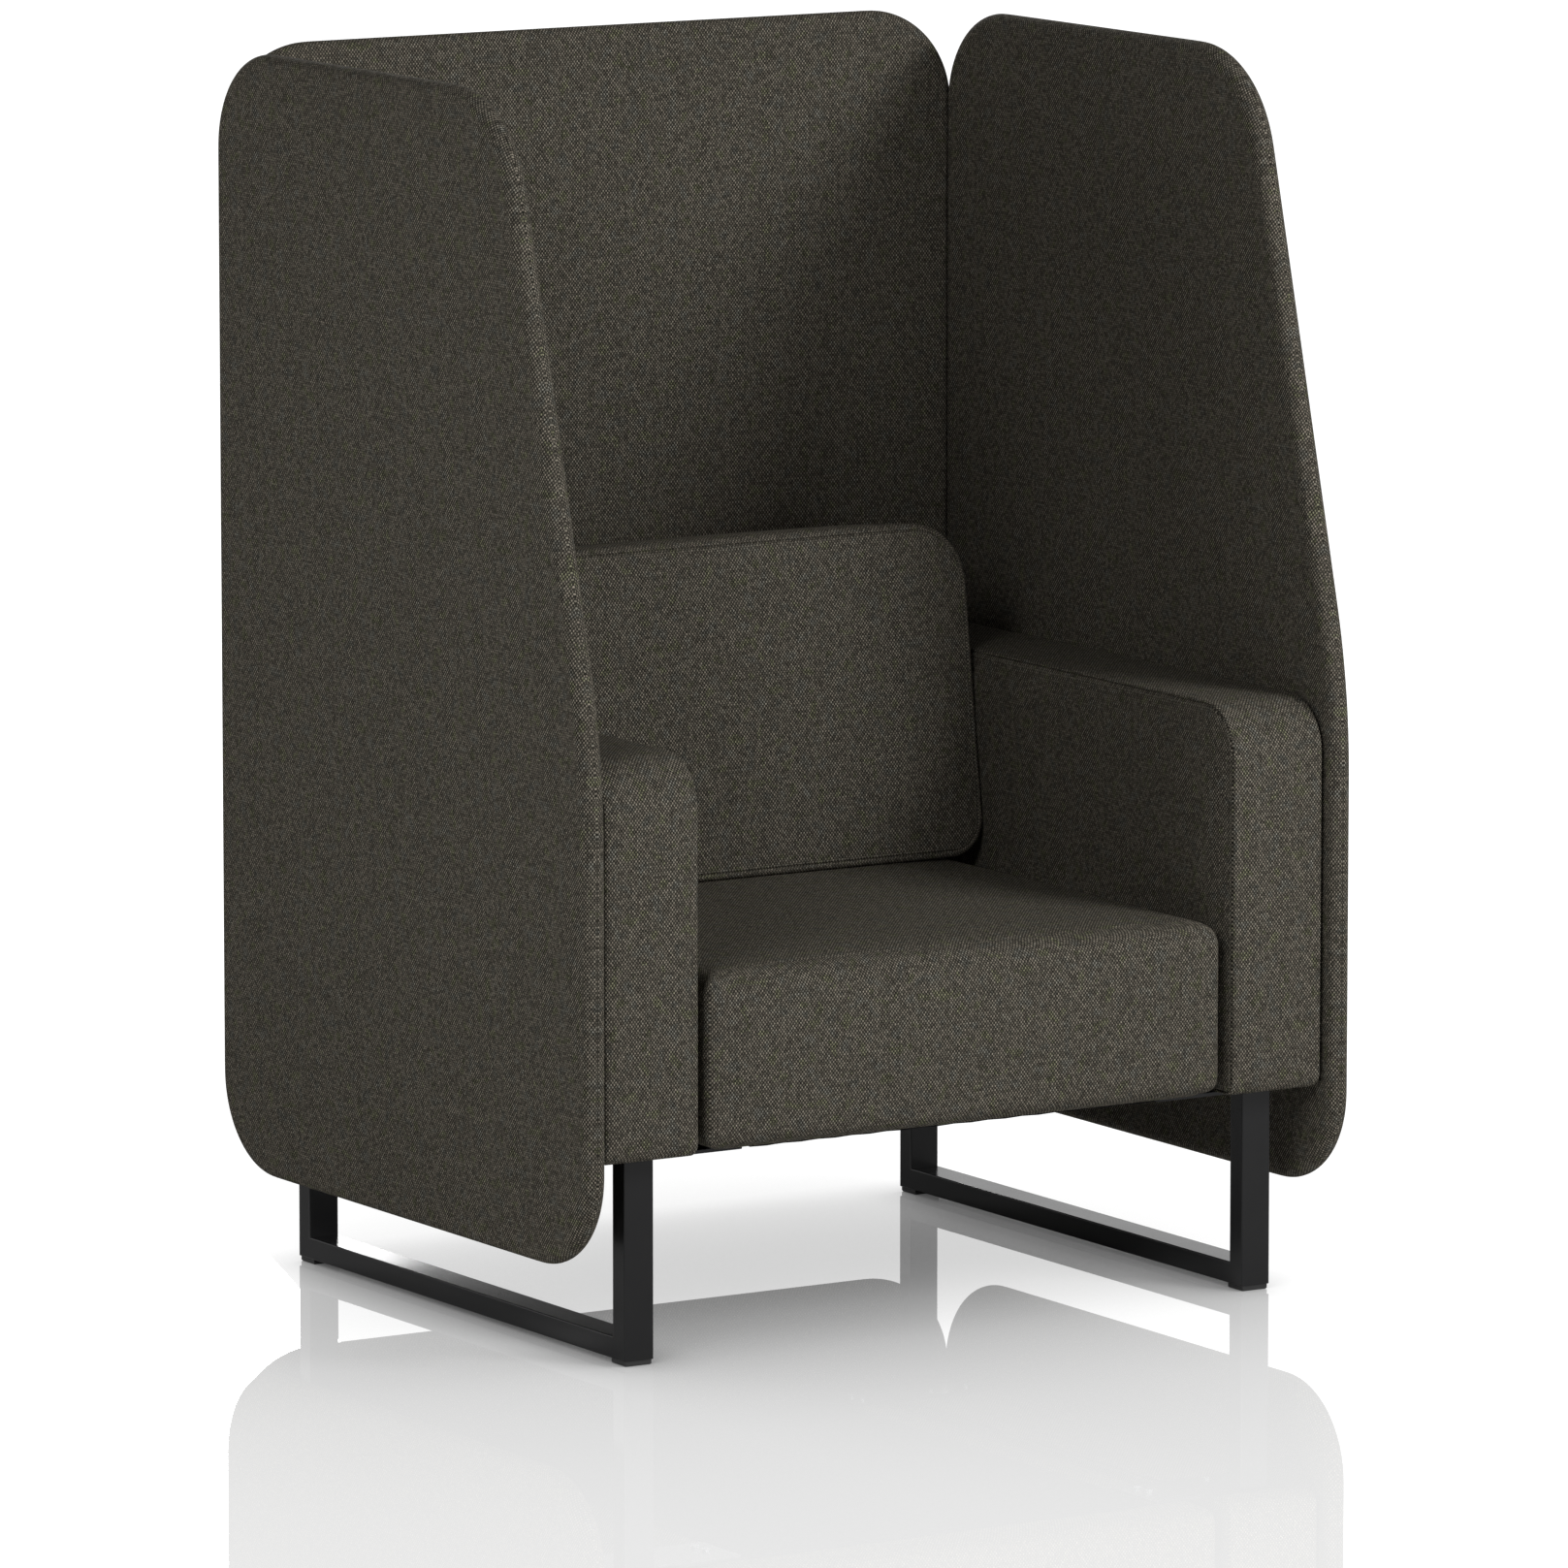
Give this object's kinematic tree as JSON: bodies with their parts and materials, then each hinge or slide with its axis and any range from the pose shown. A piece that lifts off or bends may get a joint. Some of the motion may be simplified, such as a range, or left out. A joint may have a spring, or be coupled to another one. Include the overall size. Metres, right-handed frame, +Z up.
{
  "type": "privacy booth sofa",
  "caption": "High-backed booth armchair: padded screens on three sides, block arms, deep seat and leaning backrest on black steel sled legs.",
  "frame": {"origin": "on the floor, under the middle of the outside box", "axes": "+Z up, +Y to the rear (the seat faces -Y), +X to the sitter's left, seen on the right from the front"},
  "size_m": [1.01, 0.845, 1.4],
  "materials": {
    "woven_fabric": "dark olive-grey hopsack weave with lighter flecks",
    "black_steel": "satin black powder coat",
    "glide_plastic": "black moulded plastic",
    "zinc_steel": "zinc plated",
    "webbing": "woven elastic webbing",
    "dust_cloth": "black non-woven cloth",
    "timber": "planed softwood",
    "board": "birch plywood"
  },
  "bodies": {
    "root": {"back_bracket_bolts": "zinc_steel", "back_screen_board": "board", "back_screen_bolts": "zinc_steel", "back_screen_cover": "woven_fabric", "back_screen_inserts": "zinc_steel", "backrest_cushion": "woven_fabric", "backrest_panel": "board", "left_arm_cover": "woven_fabric", "left_arm_frame": "timber", "left_arm_inner_ply": "board", "left_arm_outer_ply": "board", "left_back_bracket": "black_steel", "left_front_glide": "glide_plastic", "left_front_plate": "black_steel", "left_rear_glide": "glide_plastic", "left_rear_plate": "black_steel", "left_side_screen_board": "board", "left_side_screen_bolts": "zinc_steel", "left_side_screen_cover": "woven_fabric", "left_side_screen_inserts": "zinc_steel", "left_sled_front_post": "black_steel", "left_sled_rail": "black_steel", "left_sled_rear_post": "black_steel", "plate_screws": "zinc_steel", "right_arm_cover": "woven_fabric", "right_arm_frame": "timber", "right_arm_inner_ply": "board", "right_arm_outer_ply": "board", "right_back_bracket": "black_steel", "right_front_glide": "glide_plastic", "right_front_plate": "black_steel", "right_rear_glide": "glide_plastic", "right_rear_plate": "black_steel", "right_side_screen_board": "board", "right_side_screen_bolts": "zinc_steel", "right_side_screen_cover": "woven_fabric", "right_side_screen_inserts": "zinc_steel", "right_sled_front_post": "black_steel", "right_sled_rail": "black_steel", "right_sled_rear_post": "black_steel", "seat_corner_blocks": "timber", "seat_cushion": "woven_fabric", "seat_dust_sheet": "dust_cloth", "seat_frame": "timber", "seat_webbing": "webbing"}
  },
  "joints": []
}
